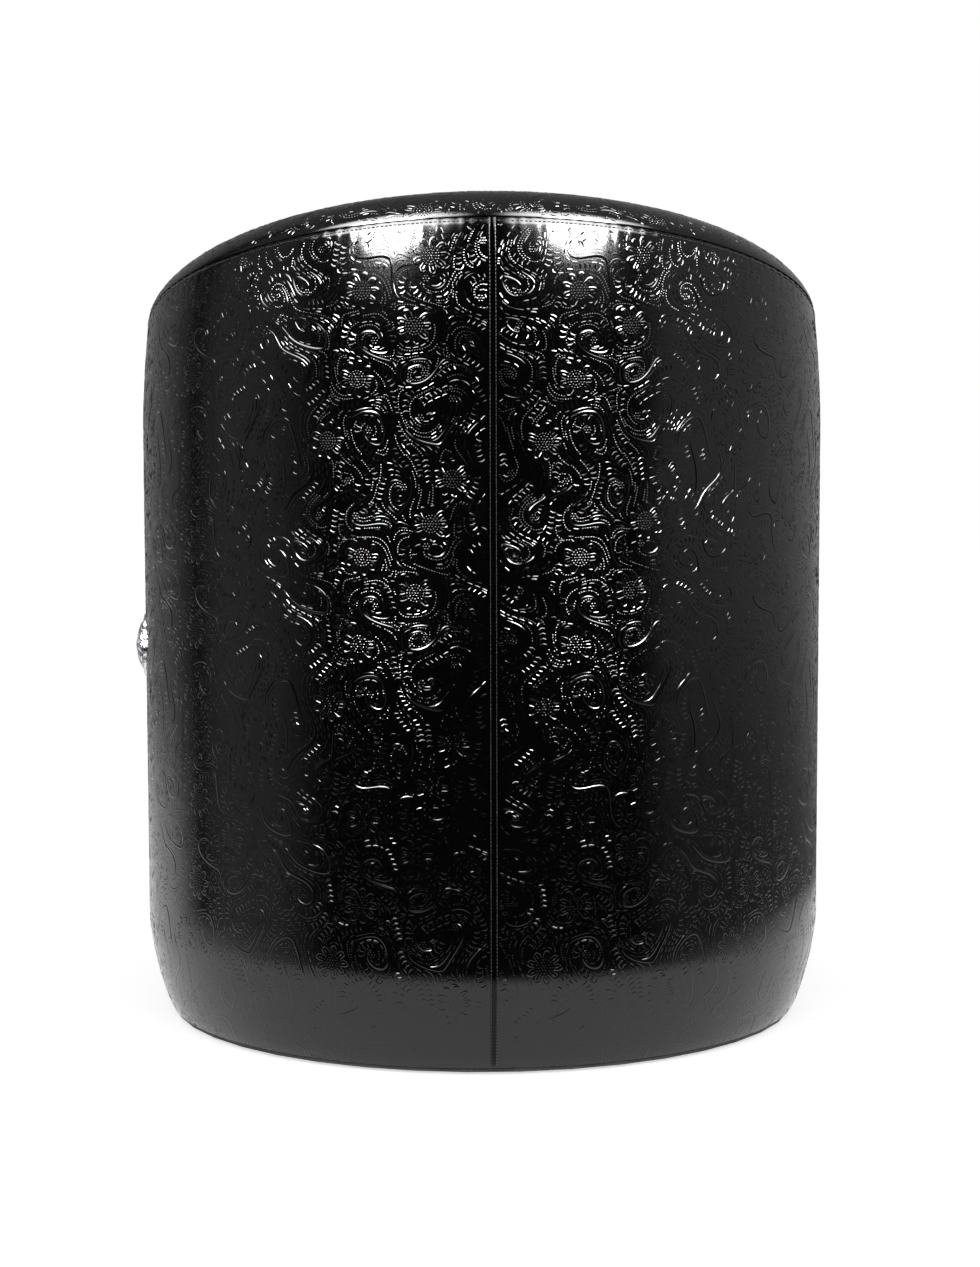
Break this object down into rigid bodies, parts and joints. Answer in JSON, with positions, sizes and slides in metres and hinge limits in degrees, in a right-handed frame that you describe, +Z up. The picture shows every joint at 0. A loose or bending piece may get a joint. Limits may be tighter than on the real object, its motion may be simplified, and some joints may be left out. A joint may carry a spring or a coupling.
{
  "type": "barrel chair",
  "caption": "Round upholstered barrel chair with a sloping padded rim that runs into the arms, a loose seat cushion that lifts out and a recessed base.",
  "frame": {"origin": "floor level on the barrel's axis, under the middle of the chair", "axes": "+Z up, +Y towards the open front of the seat, so the middle of the back is at -Y"},
  "size_m": [0.6802, 0.6703, 0.8091],
  "materials": {
    "embossed_leather": "glossy, embossed with tooled flowers and scrolls",
    "plain_leather": "satin, pebbled grain",
    "foam": "open foam",
    "wadding": "fibre wadding",
    "board": "bent fibreboard",
    "hardwood": "sawn hardwood",
    "webbing": "woven elastic webbing",
    "black_base": "painted matt black",
    "dust_cloth": "thin black cloth",
    "nylon": "moulded nylon",
    "silver": "polished silver plate with dark recesses",
    "steel": "zinc plated"
  },
  "bodies": {
    "chair": {"base_ring": "hardwood", "seat_ring": "hardwood", "post_back": "hardwood", "post_back_right": "hardwood", "post_back_left": "hardwood", "post_side_right": "hardwood", "post_side_left": "hardwood", "top_rail": "hardwood", "post_arm_right": "hardwood", "post_arm_left": "hardwood", "stile_front_right": "hardwood", "stile_front_middle": "hardwood", "stile_front_left": "hardwood", "shell_board": "board", "liner_board": "board", "front_board": "board", "webbing_long_1": "webbing", "webbing_cross_1": "webbing", "webbing_long_2": "webbing", "webbing_cross_2": "webbing", "webbing_long_3": "webbing", "webbing_cross_3": "webbing", "webbing_long_4": "webbing", "webbing_cross_4": "webbing", "webbing_long_5": "webbing", "webbing_cross_5": "webbing", "outer_wadding": "wadding", "inside_foam": "foam", "front_wadding": "wadding", "seat_deck": "wadding", "rim_foam": "foam", "outside_back_right": "embossed_leather", "outside_back_left": "embossed_leather", "back_seam_strip": "embossed_leather", "rim_band": "embossed_leather", "inside_cover": "plain_leather", "front_cover": "embossed_leather", "concho": "silver", "concho_washer": "steel", "concho_screw": "steel", "plinth": "black_base", "glide_1": "nylon", "glide_2": "nylon", "glide_3": "nylon", "glide_4": "nylon", "dust_cover": "dust_cloth"},
    "cushion": {"cushion_core": "foam", "cushion_border": "plain_leather", "cushion_welt_bottom": "plain_leather", "cushion_welt_top": "plain_leather", "cushion_bottom": "plain_leather", "cushion_top": "plain_leather"}
  },
  "joints": [
    {"name": "cushion_lift", "type": "slide", "parent": "chair", "child": "cushion", "axis": [0, 0, 1], "range_m": [0, 0.52]}
  ]
}
